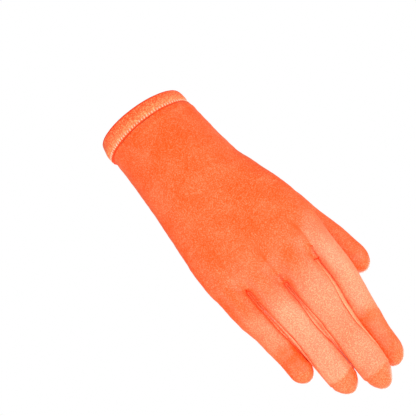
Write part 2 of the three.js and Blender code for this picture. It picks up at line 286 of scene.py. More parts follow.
ulnar_edge = float(half_width("little", 0) - finger_centre("little", 0)[0] + KNUCKLE_EASE)
radial_edge = float(half_width("index", 0) + finger_centre("index", 0)[0] + KNUCKLE_EASE / 2)


def hand_edge(depth):
    """The thumb's side of the hand at a depth below the mouth."""
    return mix(CUFF_WIDTH / 2, radial_edge, hand_table.read("radial", depth / PALM_LENGTH))


def thumb_centre(share):
    start_x = hand_edge(THUMB_START) - THUMB_INSET - THUMB_WIDTH / 2
    tip_fall = THUMB_START + THUMB_REACH - PALM_LENGTH
    index_x, index_y = finger_centre("index", tip_fall)
    apart = half_width("index", tip_fall) + THUMB_GAP + THUMB_WIDTH / 2
    sideways = start_x + THUMB_OUT - index_x
    tip_y = index_y + math.sqrt(max(apart**2 - sideways**2, 0))
    forward = thumb_table.read("forward", share)
    return np.stack(
        [
            start_x + THUMB_OUT * thumb_table.read("out", share),
            mix(THUMB_ROOT_DEPTH, tip_y, forward),
            -(THUMB_START + THUMB_REACH * share),
        ],
        axis=-1,
    )


def thumb_apart_by(share):
    return THUMB_APART * ease(share, 0.34, 0.62)


# Sections of the hand and the tubes made from them


def hand_sections(depth):
    """Level sections of the hand at depths below the mouth, down to the knuckles."""
    at = depth / PALM_LENGTH
    ulnar = mix(CUFF_WIDTH / 2, ulnar_edge, hand_table.read("ulnar", at))
    radial = hand_edge(depth)
    back = hand_table.read("back", at)
    return {
        "centre": np.stack([(radial - ulnar) / 2, 0 * depth, -depth], axis=-1),
        "half": (radial + ulnar) / 2,
        "back": mix(CUFF_DEPTH / 2, KNUCKLE_BACK, back),
        "palm": mix(CUFF_DEPTH / 2, KNUCKLE_PALM, hand_table.read("palm", at)),
        "power": mix(2, KNUCKLE_POWER, back),
        "slant": MOUTH_SLANT * np.clip(1 - depth / SLANT_DEPTH, 0, 1),
        "arch": 0 * depth,
    }


def web_sections(at):
    """The hand's end between the finger roots, arched so that the little finger parts higher up."""
    fall = at * WEB_FALL
    wide = web_table.read("wide", at)
    deep = web_table.read("deep", at)
    middle = (radial_edge - ulnar_edge) / 2 * wide
    return {
        "centre": np.stack([middle, curl(fall), -PALM_LENGTH - fall], axis=-1),
        "half": (radial_edge + ulnar_edge) / 2 * wide,
        "back": KNUCKLE_BACK * deep,
        "palm": KNUCKLE_PALM * deep,
        "power": web_table.read("power", at),
        "slant": 0 * at,
        "arch": WEB_ARCH * at**2,
    }


def across(centre, half, deep):
    """Round sections square to a centre line."""
    along = np.gradient(centre, axis=0)
    along /= np.linalg.norm(along, axis=1, keepdims=True)
    side = np.array([1.0, 0, 0]) - along * along[:, :1]
    side /= np.linalg.norm(side, axis=1, keepdims=True)
    still = np.zeros(len(half))
    return {
        "centre": centre,
        "side": side,
        "front": np.cross(side, along),
        "half": half,
        "back": deep,
        "palm": deep,
        "power": still + 2,
        "slant": still,
        "arch": still,
    }


def followed_by(first, second):
    return {key: np.concatenate([first[key], second[key]]) for key in first}


def capped(sections):
    """The sections with a point at either end."""
    ends = {key: np.concatenate([value[:1], value, value[-1:]]) for key, value in sections.items()}
    for size in ("half", "back", "palm"):
        ends[size][[0, -1]] = 0
    return ends


def add_tube(bm, sections, sides):
    """A closed tube: the rings of a ball are moved onto the sections, the highest one first."""
    last = len(sections["half"]) - 1
    side = sections.get("side", np.array([[1.0, 0, 0]] * (last + 1)))
    front = sections.get("front", np.array([[0, 1.0, 0]] * (last + 1)))
    made = bmesh.ops.create_uvsphere(bm, u_segments=sides, v_segments=last, radius=1)["verts"]
    ball = np.array([vert.co for vert in made])
    row = np.rint(np.arccos(np.clip(ball[:, 2], -1, 1)) / math.pi * last).astype(int)
    angle = np.arctan2(ball[:, 1], ball[:, 0])
    power = 2 / sections["power"][row]
    right = np.sign(np.cos(angle)) * np.abs(np.cos(angle)) ** power
    ahead = np.sign(np.sin(angle)) * np.abs(np.sin(angle)) ** power
    deep = np.where(ahead < 0, sections["back"][row], sections["palm"][row])
    points = (
        sections["centre"][row]
        + side[row] * (sections["half"][row] * right)[:, None]
        + front[row] * (deep * ahead)[:, None]
    )
    off_centre = points[:, 0] / radial_edge - WEB_ARCH_CENTRE
    points[:, 2] += sections["arch"][row] * off_centre**2 - sections["slant"][row] * points[:, 0]
    for vert, point in zip(made, points):
        vert.co = point


def tip_falls(reach, tip, start, rows, tip_rows):
    """Distances along a finger with the share of its size there: even steps, then a round tip."""
    angle = np.linspace(0, math.pi / 2, tip_rows + 1)[1:-1]
    fall = np.concatenate([np.linspace(start, reach - tip, rows), reach - tip + tip * np.sin(angle)])
    return fall, np.concatenate([np.ones(rows), np.cos(angle)])


def finger_sections(name):
    finger = FINGERS[name]
    reach = finger["reach"] + SMOOTHING_LOSS
    fall, size = tip_falls(reach, finger["tip"], -1.0, FINGER_RINGS, TIP_RINGS)
    x, y = finger_centre(name, fall)
    centre = np.stack([x + apart_by(name, fall), y, -PALM_LENGTH - fall], axis=-1)
    half = size * (half_width(name, fall) + FINGER_SWELL + SMOOTHING_LOSS)
    deep = size * (half_depth(name, fall) + SMOOTHING_LOSS)
    return across(centre, half, deep)


def web_between(first, second):
    """The cloth that is stretched between two finger roots, down to where they part."""
    fall, size = tip_falls(WEB_ENDS[first, second], WEB_ROUNDING, WEB_TOP, 40, 12)
    first_x, first_y = finger_centre(first, fall)
    second_x, second_y = finger_centre(second, fall)
    to_x = second_x + apart_by(second, fall) - first_x - apart_by(first, fall)
    to_y = second_y - first_y
    length = np.hypot(to_x, to_y)
    centre_x = first_x + apart_by(first, fall) + to_x / 2
    share = mix(WEB_DEPTH_AT_TOP, WEB_DEPTH_AT_END, ease(fall, WEB_TOP, WEB_ENDS[first, second]))
    deep = size * share * np.minimum(half_depth(first, fall), half_depth(second, fall))
    centre = np.stack([centre_x, first_y + to_y / 2, -PALM_LENGTH - fall], axis=-1)
    sections = across(centre, length / 2, deep)
    sections["side"] = np.stack([to_x, to_y, 0 * fall], axis=-1) / length[:, None]
    sections["front"] = np.stack([-to_y, to_x, 0 * fall], axis=-1) / length[:, None]
    return sections


def thumb_sections():
    fall, size = tip_falls(THUMB_REACH, THUMB_TIP, 0.0, FINGER_RINGS, TIP_RINGS)
    share = fall / THUMB_REACH
    centre = thumb_centre(share)
    centre[:, 1] += thumb_apart_by(share)
    half = size * THUMB_WIDTH / 2 * thumb_table.read("wide", share)
    deep = size * THUMB_WIDTH / 2 * thumb_table.read("deep", share)
    return across(centre, half, deep)


def object_from(bm, name):
    mesh = bpy.data.meshes.new(name)
    bm.to_mesh(mesh)
    piece = bpy.data.objects.new(name, mesh)
    bpy.context.scene.collection.objects.link(piece)
    return piece


def applied(piece):
    """The piece's mesh with its modifiers, and nothing of the piece itself."""
    graph = bpy.context.evaluated_depsgraph_get()
    mesh = bpy.data.meshes.new_from_object(piece.evaluated_get(graph))
    bpy.data.objects.remove(piece)
    return mesh


def skin_mesh():
    """One skin over the hand, the fingers held apart, and the thumb."""
    bm = bmesh.new()
    depths = np.linspace(SKIN_TOP, PALM_LENGTH, HAND_RINGS)
    web_shares = np.linspace(0, WEB_ROWS[-1][0], WEB_RINGS)[1:]
    hand = followed_by(hand_sections(depths), web_sections(web_shares))
    add_tube(bm, capped(hand), HAND_SIDES)
    for name in NAMES:
        add_tube(bm, capped(finger_sections(name)), TUBE_SIDES)
    for first, second in PAIRS:
        add_tube(bm, capped(web_between(first, second)), TUBE_SIDES)
    add_tube(bm, capped(thumb_sections()), TUBE_SIDES)
    piece = object_from(bm, "skin")
    bm.free()
    remesh = piece.modifiers.new("one skin", "REMESH")
    remesh.mode = "VOXEL"
    remesh.voxel_size = VOXEL
    smooth = piece.modifiers.new("smooth", "SMOOTH")
    smooth.factor = 0.5
    smooth.iterations = SMOOTHING
    return applied(piece)


# Where a point of the cloth lies, read while the fingers are held apart


def softly(readings):
    """Shares of the candidates, close to 1 for the one with the smallest reading."""
    weights = np.exp(-SHARE_SHARPNESS * (readings - readings.min(axis=0)))
    return weights / weights.sum(axis=0)


def on_fingers(points):
    """For each point its fall, the share each finger has in it, and its place beside the fingers.

    nearest is the number of its finger and pair the number of the gap that it faces. beside and
    ahead are measured from the centre of its finger, as shares of the half width.
    """
    fall = -PALM_LENGTH - points[:, 2]
    readings, centres_x, centres_y, halves = [], [], [], []
    for name in NAMES:
        x, y = finger_centre(name, fall)
        x = x + apart_by(name, fall)
        half = half_width(name, fall)
        readings.append(np.hypot((points[:, 0] - x) / half, (points[:, 1] - y) / half_depth(name, fall)))
        centres_x.append(x)
        centres_y.append(y)
        halves.append(half)
    share = softly(np.array(readings))
    nearest = np.argmax(share, axis=0)
    numbers = np.arange(len(points))
    own_x, own_y, own_half = (np.array(of)[nearest, numbers] for of in (centres_x, centres_y, halves))
    gap = np.where(points[:, 0] > own_x, nearest, nearest - 1)
    return {
        "fall": fall,
        "share": share,
        "nearest": nearest,
        "pair": np.clip(gap, 0, len(PAIRS) - 1),
        "beside": (points[:, 0] - own_x) / own_half,
        "ahead": (points[:, 1] - own_y) / own_half,
        "y": (share * centres_y).sum(axis=0),
        "half": (share * halves).sum(axis=0),
        "centres_x": np.array(centres_x),
        "outside": ((np.array(readings) - 1) * halves).min(axis=0),
    }


def on_thumb(points):
    """Share along the thumb of each point, and how far it lies outside the thumb's surface."""
    share = np.linspace(0, 1, 120)
    centre = thumb_centre(share)
    centre[:, 1] += thumb_apart_by(share)
    wide = THUMB_WIDTH / 2 * thumb_table.read("wide", share)
    deep = THUMB_WIDTH / 2 * thumb_table.read("deep", share)
    sections = across(centre, wide, deep)
    away = np.linalg.norm(points[:, None, :] - centre[None], axis=2)
    near = np.argmin(away, axis=1)
    rest = points - centre[near]
    sideways = (rest * sections["side"][near]).sum(axis=1)
    ahead = (rest * sections["front"][near]).sum(axis=1)
    reading = np.hypot(sideways / wide[near], ahead / deep[near])
    outside = (reading - 1) * np.minimum(wide, deep)[near]
    above_start = np.maximum(points[:, 2] + THUMB_START, 0)
    return share[near], outside + above_start


def outside_hand(points):
    """How far points lie outside the hand and the fingers, the thumb left out."""
    depth = np.clip(-points[:, 2], 0, PALM_LENGTH)
    sections = hand_sections(depth)
    beside = (points[:, 0] - sections["centre"][:, 0]) / sections["half"]
    deep = np.where(points[:, 1] < 0, sections["back"], sections["palm"])
    power = sections["power"]
    reading = (np.abs(beside) ** power + np.abs(points[:, 1] / deep) ** power) ** (1 / power)
    place = on_fingers(points)
    below = 0.6 * np.maximum(place["fall"], 0)
    return np.minimum((reading - 1) * deep + below, place["outside"])


def thumb_line(points):
    """Above zero on the thumb, below zero on the hand."""
    return outside_hand(points) - on_thumb(points)[1]


def thumb_weight(points):
    """1 on the thumb, 0 on the hand, smooth between them."""
    return ease(thumb_line(points), -THUMB_BLEND, THUMB_BLEND)


def strip_line(points):
    """Above zero on the strips between the fingers, below zero on the panels."""
    place = on_fingers(points)
    fall = place["fall"]
    reach = np.array([FINGERS[name]["reach"] - STRIP_END for name in NAMES])
    end = (place["share"] * reach[:, None]).sum(axis=0)
    pointed = ease(fall / end, STRIP_TAPER_START, 1)
    half = STRIP_WIDTH / 2 * mix(1, STRIP_POINT, pointed)
    reading = half - np.abs(points[:, 1] - place["y"])
    reading = np.minimum(reading, (end - fall) * 0.6)
    web_end = np.array(list(WEB_ENDS.values()))[place["pair"]]
    reading = np.minimum(reading, fall - web_end + STRIP_TOP)
    outer_little = place["centres_x"][0] - points[:, 0]
    outer_index = points[:, 0] - place["centres_x"][-1]
    return np.minimum(reading, -np.maximum(outer_little, outer_index))


def side_line(points):
    """Above zero on the palm, below zero on the back."""
    return points[:, 1] - on_fingers(points)["y"]


# Cutting the skin along the seams


def coordinates(verts):
    return np.array([vert.co for vert in verts])


def cut_along(bm, line, snap=0.22):
    """Cuts the faces where line(points) passes zero. A vertex close to it is moved onto it."""
    bm.verts.index_update()
    points = coordinates(bm.verts)
    value = line(points)
    ends = np.array([[vert.index for vert in edge.verts] for edge in bm.edges])
    first, second = value[ends[:, 0]], value[ends[:, 1]]
    crossing = np.flatnonzero(first * second < 0)
    share = first[crossing] / (first[crossing] - second[crossing])
    verts = list(bm.verts)
    moved = {}
    for edge, at in zip(ends[crossing], share):
        near = edge[0] if at < snap else edge[1] if at > 1 - snap else None
        if near is not None and near not in moved:
            moved[near] = mix(points[edge[0]], points[edge[1]], at)
    for number, point in moved.items():
        verts[number].co = point
        value[number] = 0
    on_line = [verts[number] for number in moved]
    edges = list(bm.edges)
    for number in crossing:
        a, b = value[ends[number]]
        if a * b < 0:
            made = bmesh.utils.edge_split(edges[number], verts[ends[number][0]], a / (a - b))
            on_line.append(made[1])
    bmesh.ops.connect_verts(bm, verts=on_line)


def cut_panels(bm):
    """Cuts the skin along its seams and returns the name of the piece that each face belongs to."""
    for line in (thumb_line, strip_line, side_line):
        cut_along(bm, line)
    bm.faces.index_update()
    centres = np.array([face.calc_center_median() for face in bm.faces])
    place = on_fingers(centres)
    strips = np.array([f"fourchette_{second}_{first}" for first, second in PAIRS])
    piece = np.where(side_line(centres) > 0, "palm_panel", "back_panel").astype(object)
    piece = np.where(strip_line(centres) > 0, strips[place["pair"]], piece)
    return np.where(thumb_line(centres) > 0, "thumb", piece)


def tree_of(points):
    tree = KDTree(len(points))
    for number, point in enumerate(points):
        tree.insert(point, number)
    tree.balance()
    return tree


def seam_points(bm, piece, wanted):
    """Points along the seams where wanted(names of the two pieces) holds."""
    points = []
    for edge in bm.edges:
        faces = edge.link_faces
        if len(faces) != 2:
            continue
        names = {piece[faces[0].index], piece[faces[1].index]}
        if len(names) == 2 and wanted(names):
            a, b = (vert.co for vert in edge.verts)
            points += [a.lerp(b, share) for share in (0, 0.33, 0.67)]
    return points


def refined(bm, piece):
    """Halves the edges beside the seams and returns the pieces of the new faces."""
    names = sorted(set(piece))
    layer = bm.faces.layers.int.new("piece")
    for face, name in zip(bm.faces, piece):
        face[layer] = names.index(name)
    seams = tree_of(seam_points(bm, piece, lambda pair: True))
    bm.edges.ensure_lookup_table()
    middles = [(edge.verts[0].co + edge.verts[1].co) / 2 for edge in bm.edges]
    near = [edge for edge, middle in zip(bm.edges, middles) if seams.find(middle)[2] < REFINED_REACH]
    bmesh.ops.subdivide_edges(bm, edges=near, cuts=1, use_grid_fill=True)
    bmesh.ops.triangulate(bm, faces=[face for face in bm.faces if len(face.verts) > 4])
    bm.faces.index_update()
    found = np.array(names, dtype=object)[[face[layer] for face in bm.faces]]
    bm.faces.layers.int.remove(layer)
    return found


def strip_tops(bm, piece):
    """The highest point of each strip's edge on the back of the hand."""
    tops = []
    for first, second in PAIRS:
        faces = [face for face in bm.faces if piece[face.index] == f"fourchette_{second}_{first}"]
        verts = {vert for face in faces for vert in face.verts}
        on_back = [vert.co.copy() for vert in verts if vert.co.y < float(curl(WEB_FALL))]
        tops.append(np.array(max(on_back, key=lambda point: point.z)))
    return tops


def distances(points, targets):
    tree = tree_of(targets)
    return np.array([tree.find(point)[2] for point in points])


# Relief of the cloth: seams, gathers, joints of the fingers and soft folds. Each function says how
# far the cloth stands out, negative inwards, for each of its points.

# Seams: how deep they pull in, how narrow, and how far the cloth beside them puffs up
Seam = namedtuple("Seam", "deep narrow puff")
SEAMS = {
    "strip": Seam(0.6, 0.4, 0.15),
    "thumb": Seam(0.6, 0.4, 0.2),
    "side": Seam(0.45, 0.35, 0.1),
}
PUFF_AWAY = 2.3
PUFF_WIDTH = 1.2

# The bend at the knuckles, and the filling of the back below them
RIDGE_REACH = 66
BEND_LENGTH = 9
BEND_WINDOW = 40
BEND_FILL = 2.5
BEND_FILL_FALL = 30
BEND_FILL_REACH = 22

# Joints of the fingers as shares of their reach, and where their cloth bends inwards
MIDDLE_JOINT = 0.43
END_JOINT = 0.72
Bend = namedtuple("Bend", "at deep wide")
BENDS = {
    "little": Bend(0.78, 0.9, 4.0),
    "ring": Bend(0.7, 0.3, 5.0),
    "middle": Bend(0.66, 0.35, 5.0),
    "index": Bend(0.74, 1.1, 5.0),
}

# How pale the cloth is over each finger, partly because it is stretched there and partly a painted
# highlight, with painted shade
# at its bend and tip: where below the knuckles the paleness starts, and its size before and after the
# finger's bend, in the bend and at the tip
StretchAndLight = namedtuple("StretchAndLight", "start before after in_bend at_tip")
STRETCH_AND_PAINTED_LIGHT = {
    "little": StretchAndLight(14, 0.35, -0.2, -0.3, 0.0),
    "ring": StretchAndLight(16, 0.95, 0.95, 0.9, 0.15),
    "middle": StretchAndLight(15, 0.7, 0.7, 0.5, 0.1),
    "index": StretchAndLight(0, 1.0, -0.05, -0.3, 0.0),
}
STRETCH_AND_LIGHT_RISE = 28

# Painted shade in the hollow above each web, and how far it reaches
PAINTED_SHADE_ABOVE_WEBS = {("little", "ring"): 0.6, ("ring", "middle"): 1.25, ("middle", "index"): 1.7}
PAINTED_SHADE_ABOVE_WEBS_LENGTH = 14

# The fold beside the thumb's seam: where it starts and ends above the knuckles, and its size
FOLD_START = -16
FOLD_END = -0.5
FOLD_WIDTH = 3.2
FOLD_DEEP = 0.6

# Nails under the cloth: their free edge before the tip, how it curves, and their size
NAIL_EDGE = 7.6
NAIL_CURVE = 3.2
NAIL_LENGTH = 12
NAIL_HEIGHT = 0.4

# Swellings over the joints of the fingers, and on their palm side the pads between the creases, at
# shares of their reach
Swelling = namedtuple("Swelling", "high at long")
JOINT_SWELLINGS = (Swelling(0.25, MIDDLE_JOINT, 7), Swelling(0.15, END_JOINT, 5))
PAD_SWELLINGS = (
    Swelling(0.7, 0.87, 8),
    Swelling(0.5, 0.57, 7),
    Swelling(-0.7, MIDDLE_JOINT, 1.7),
    Swelling(-0.5, END_JOINT, 1.5),
)

# Swellings over and above each knuckle, in millimetres below it, and the hollows between them
KNUCKLE_SWELLINGS = (Swelling(0.35, 0, 12), Swelling(0.25, -26, 18))
KNUCKLE_WIDTH = 7.5
HOLLOW_DEEP = 0.5
HOLLOW_WIDTH = 4
HOLLOW_FALL = 7
HOLLOW_LENGTH = 8

# The hollow of the palm, the mound beside it, and the pad at the roots of the fingers
Mound = namedtuple("Mound", "high x z wide long")
PALM_MOUNDS = (Mound(-2.2, 4, -84, 15, 20), Mound(1.1, -18, -75, 11, 24))
PAD_HIGH = 0.8
PAD_FALL = -6
PAD_LENGTH = 7

# Creases of the palm: a ring round the thumb's ball and two lines across
BALL_CENTRE = (36, -58)
BALL_RADIUS = 31
BALL_CREASE_DEEP = 0.7
UPPER_CREASE_DEEP = 0.45
LOWER_CREASE_DEEP = 0.5
CREASE_WIDTH = 1.6

# Waves round the cuff, in the folds under the hem and in the hem
Wave = namedtuple("Wave", "count high start")
GATHERS = (Wave(11, 1, 0.6), Wave(23, 0.6, 2), Wave(37, 0.4, 0))
HEM_WAVES = (Wave(9, 1, 0), Wave(17, 0.7, 1), Wave(31, 0.5, 2))
GATHER_HIGH = 0.16
GATHER_REACH = 14
HEM_WAVE_HIGH = 0.09

# The fold round the wrist below the hem, higher on the thumb's side, and the drag folds
WRIST_FOLD_BELOW = 4.6
WRIST_FOLD_WIDTH = 1.7
WRIST_FOLD_HIGH = 0.2
WRIST_FOLD_HIGHER = 0.22
DRAG_HIGH = 0.22
DRAG_PITCH = 5.5
DRAG_PLACE = -48
DRAG_REACH = 20

# Unevenness of the cloth: broad slackness, and crumples that are stronger beside the seams
BROAD_SPOTS = 0.075
BROAD_HIGH = 0.3
CRUMPLE_SPOTS = 0.3
CRUMPLE_HIGH = 0.05
CRUMPLE_HIGHER = 0.2
CRUMPLE_REACH = 2.5

# Pleats round the upper end of each strip, and the dimple in it
PLEAT_HIGH = 0.1
PLEAT_COUNT = 5
PLEAT_AWAY = 3.5
PLEAT_LENGTH = 2.6
DIMPLE_DEEP = 0.4
DIMPLE_WIDTH = 1.6


def seam_relief(seams):
    out = 0
    for name, seam in SEAMS.items():
        pulled = seam.deep * np.exp(-seams[name] / seam.narrow)
        out = out - pulled + seam.puff * bump(seams[name], PUFF_AWAY, PUFF_WIDTH)
    return out


def nail_edge(name, place):
    """How far below the knuckles the free edge of a finger's nail lies."""
    return FINGERS[name]["reach"] - NAIL_EDGE - NAIL_CURVE * place["beside"] ** 2


def swollen(swellings, fall, reach=1):
    """The sum of swellings along a finger."""
    return sum(one.high * bump(fall, one.at * reach, one.long) for one in swellings)


def added_waves(waves, angle):
    """The sum of waves round the cuff."""
    return sum(wave.high * np.sin(wave.count * angle + wave.start) for wave in waves)


def finger_relief(place):
    """Joints, bends and nails on the back of the fingers, pads and creases on their palm side."""
    fall = place["fall"]
    on_back = ease(-place["ahead"], 0.1, 0.75)
    on_pad = ease(place["ahead"], 0.1, 0.75)
    out = np.zeros(len(fall))
    for number, name in enumerate(NAMES):
        reach = FINGERS[name]["reach"]
        own = place["nearest"] == number
        bend = BENDS[name]
        back = swollen(JOINT_SWELLINGS, fall, reach) - bend.deep * bump(fall, bend.at * reach, bend.wide)
        edge = nail_edge(name, place)
        nail = ease(edge - fall, -0.35, 0.45) * ease(fall, edge - NAIL_LENGTH, edge - NAIL_LENGTH / 3)
        nail *= ease(-np.abs(place["beside"]), -0.8, -0.55)
        back += NAIL_HEIGHT * nail
        out += own * (on_back * back + on_pad * swollen(PAD_SWELLINGS, fall, reach))
    return out


def hand_relief(points, place, on_the_thumb):
    """Knuckles and hollows of the back, the mounds, hollow and creases of the palm."""
    x, z = points[:, 0], points[:, 2]
    fall = place["fall"]
    back = ease(-points[:, 1], 3, 9) * (1 - on_the_thumb)
    palm = ease(points[:, 1], 3, 9) * (1 - on_the_thumb)
    out = np.zeros(len(points))
    for name in NAMES:
        near = bump(x, finger_centre(name, 0.0)[0], KNUCKLE_WIDTH)
        out += back * near * swollen(KNUCKLE_SWELLINGS, fall)
    for first, second in PAIRS:
        between = (finger_centre(first, 0.0)[0] + finger_centre(second, 0.0)[0]) / 2
        hollow = bump(x, between, HOLLOW_WIDTH) * bump(fall, HOLLOW_FALL, HOLLOW_LENGTH)
        out -= back * HOLLOW_DEEP * hollow
    for mound in PALM_MOUNDS:
        out += palm * mound.high * bump(x, mound.x, mound.wide) * bump(z, mound.z, mound.long)
    out += palm * PAD_HIGH * bump(fall, PAD_FALL, PAD_LENGTH)
    across_palm = ease(-np.abs(x), -34, -26)
    from_ball = np.hypot(x - BALL_CENTRE[0], z - BALL_CENTRE[1]) - BALL_RADIUS
    creases = (
        (from_ball, BALL_CREASE_DEEP * ease(-z, 48, 78)),
        (z + 96 - 0.12 * x - 0.01 * x * x, UPPER_CREASE_DEEP),
        (z + 103 + 0.2 * x, LOWER_CREASE_DEEP),
    )
    for away, deep in creases:
        out -= palm * deep * bump(away, 0, CREASE_WIDTH) * across_palm
    return out


def wrist_relief(points):
    """Soft folds where the cuff hangs from its hem, and drag folds towards the thumb."""
    x, y, z = points.T
    angle = np.arctan2(y, x)
    below_hem = -z - HEM_HEIGHT
    hang = np.exp(-below_hem / GATHER_REACH) * ease(below_hem, 0, 4)
    out = GATHER_HIGH * hang * added_waves(GATHERS, angle)
    fold_high = WRIST_FOLD_HIGH + WRIST_FOLD_HIGHER * ease(x, -14, 12)
    out += fold_high * bump(below_hem, WRIST_FOLD_BELOW, WRIST_FOLD_WIDTH)
    drag = np.sin((z * 0.8 + x * 0.5) / DRAG_PITCH) * bump(z, DRAG_PLACE, DRAG_REACH) * ease(x, 8, 26)
    return out + DRAG_HIGH * drag


def slack_relief(points, seams):
    """Uneven slackness of the cloth, more of it beside the seams."""
    broad = np.array([noise.noise(point) for point in (points * BROAD_SPOTS).tolist()])
    crumple = np.array([noise.noise(point) for point in (points * CRUMPLE_SPOTS).tolist()])
    near_seam = np.exp(-np.minimum.reduce(list(seams.values())) / CRUMPLE_REACH)
    return BROAD_HIGH * broad + crumple * (CRUMPLE_HIGH + CRUMPLE_HIGHER * near_seam)


def web_gathers(points, web_points):
    """Small pleats that spread from the upper ends of the strips."""
    out = np.zeros(len(points))
    for web in web_points:
        away = points - web
        reach = np.linalg.norm(away, axis=1)
        angle = np.arctan2(away[:, 0], away[:, 2])
        pleats = np.sin(PLEAT_COUNT * angle + web[0]) * bump(reach, PLEAT_AWAY, PLEAT_LENGTH)
        out += PLEAT_HIGH * pleats * ease(reach, 0.5, 2)
        out -= DIMPLE_DEEP * bump(reach, 0, DIMPLE_WIDTH)
    return out


def relief(points, place, seams, on_the_thumb, web_points):
    out = seam_relief(seams) + finger_relief(place) * ease(place["fall"], 4, 16) * (1 - on_the_thumb)
    out += hand_relief(points, place, on_the_thumb) + wrist_relief(points)
    out -= FOLD_DEEP * thumb_fold(place, seams)
    return out + slack_relief(points, seams) + web_gathers(points, web_points)


def paleness_and_painted_light_of(place, on_the_thumb):
    """How pale the cloth is: 0 on the hand and the thumb, up to 1 on the fingers, partly because the cloth
    is stretched there and partly a painted highlight; less at bends and tips, which is painted shade, and
    below 0 above the webs, painted shade in the hollows there."""
    fall = place["fall"]
    paleness_and_painted_light = 0
    for name, share in zip(NAMES, place["share"]):
        pale_and_highlit, wide = STRETCH_AND_PAINTED_LIGHT[name], BENDS[name].wide
        bend = BENDS[name].at * FINGERS[name]["reach"]
        own = mix(pale_and_highlit.before, pale_and_highlit.after, ease(fall, bend - wide, bend + wide))
        own = mix(own, pale_and_highlit.in_bend, bump(fall, bend, 1.5 * wide))
        own *= ease(fall, pale_and_highlit.start, pale_and_highlit.start + STRETCH_AND_LIGHT_RISE)
        past_nail = ease(fall - nail_edge(name, place), -0.8, 0.8)
        paleness_and_painted_light = paleness_and_painted_light + share * mix(own, pale_and_highlit.at_tip, past_nail)
    # Painted shade: the colour deepens in the hollows above the webs
    for (first, second), painted_shade in PAINTED_SHADE_ABOVE_WEBS.items():
        between = 4 * place["share"][NAMES.index(first)] * place["share"][NAMES.index(second)]
        above = WEB_ENDS[first, second] - PAINTED_SHADE_ABOVE_WEBS_LENGTH
        paleness_and_painted_light = paleness_and_painted_light - painted_shade * between * bump(fall, above, PAINTED_SHADE_ABOVE_WEBS_LENGTH)
    return mix(paleness_and_painted_light, 0.0, on_the_thumb)


def thumb_fold(place, seams):
    """1 in the fold of slack cloth beside the thumb's seam, which ends abruptly at the knuckles. The fold
    sinks the cloth, and its colour is deepened there as painted shade.
    """
    fold = bump(seams["thumb"], 0, FOLD_WIDTH) * ease(place["fall"], FOLD_START, FOLD_START + 9)
    return fold * ease(-place["fall"], -FOLD_END, 2 - FOLD_END)


# The knuckles and the webs are rounded off more than the rest of the skin
ROUNDING_ROUNDS = 55
ROUNDING_SHARE = 0.6
ROUNDING_FALL = 2
ROUNDING_REACH = 15


def raised_back(points):
    """How far the back stands out further, so that it runs into each finger in one long bend."""
    place = on_fingers(points)
    behind = place["y"] - points[:, 1]
    row = np.clip(np.rint(place["fall"]), -RIDGE_REACH, RIDGE_REACH).astype(int) + RIDGE_REACH
    rows = 2 * RIDGE_REACH + 1
    fall = np.arange(rows) - RIDGE_REACH
    window = bump(np.arange(-BEND_WINDOW, BEND_WINDOW + 1), 0, math.sqrt(2) * BEND_LENGTH)
    fill = BEND_FILL * bump(fall, BEND_FILL_FALL, BEND_FILL_REACH)
    ridge_points = (behind > 5) & (np.abs(place["beside"]) < 0.4)
    shift = 0
    for number, share in enumerate(place["share"]):
        own = ridge_points & (place["nearest"] == number)
        count = np.bincount(row[own], minlength=rows)
        mean = np.bincount(row[own], points[own, 1], rows) / np.maximum(count, 1)
        ridge = np.interp(fall, fall[count > 0], mean[count > 0])
        padded = np.pad(ridge, BEND_WINDOW, mode="reflect", reflect_type="odd")
        soft = np.convolve(padded, window / window.sum(), "valid")
        own_shift = (ridge - soft + fill) * ease(-np.abs(fall), 5 - RIDGE_REACH, 30 - RIDGE_REACH)
        shift = shift + share * np.interp(place["fall"], fall, own_shift)
    return shift * ease(behind, 1, 9) * (1 - thumb_weight(points))


def rounded(mesh):
    """The mesh with the bend at the knuckles, and the band there and at the webs smoothed."""
    count = len(mesh.vertices)
    points = np.empty(count * 3)
    mesh.vertices.foreach_get("co", points)
    points = points.reshape(-1, 3)
    ends = np.empty(len(mesh.edges) * 2, dtype=int)
    mesh.edges.foreach_get("vertices", ends)
    first, second = ends.reshape(-1, 2).T
    neighbours = np.bincount(first, minlength=count) + np.bincount(second, minlength=count)
    points[:, 1] -= raised_back(points)
    fall = -PALM_LENGTH - points[:, 2]
    weight = ROUNDING_SHARE * bump(fall, ROUNDING_FALL, ROUNDING_REACH)[:, None]
    for _ in range(ROUNDING_ROUNDS):
        sums = [
            np.bincount(first, along[second], count) + np.bincount(second, along[first], count)
            for along in points.T
        ]
        points += weight * (np.stack(sums, axis=1) / neighbours[:, None] - points)
    mesh.vertices.foreach_set("co", points.ravel())
    return mesh


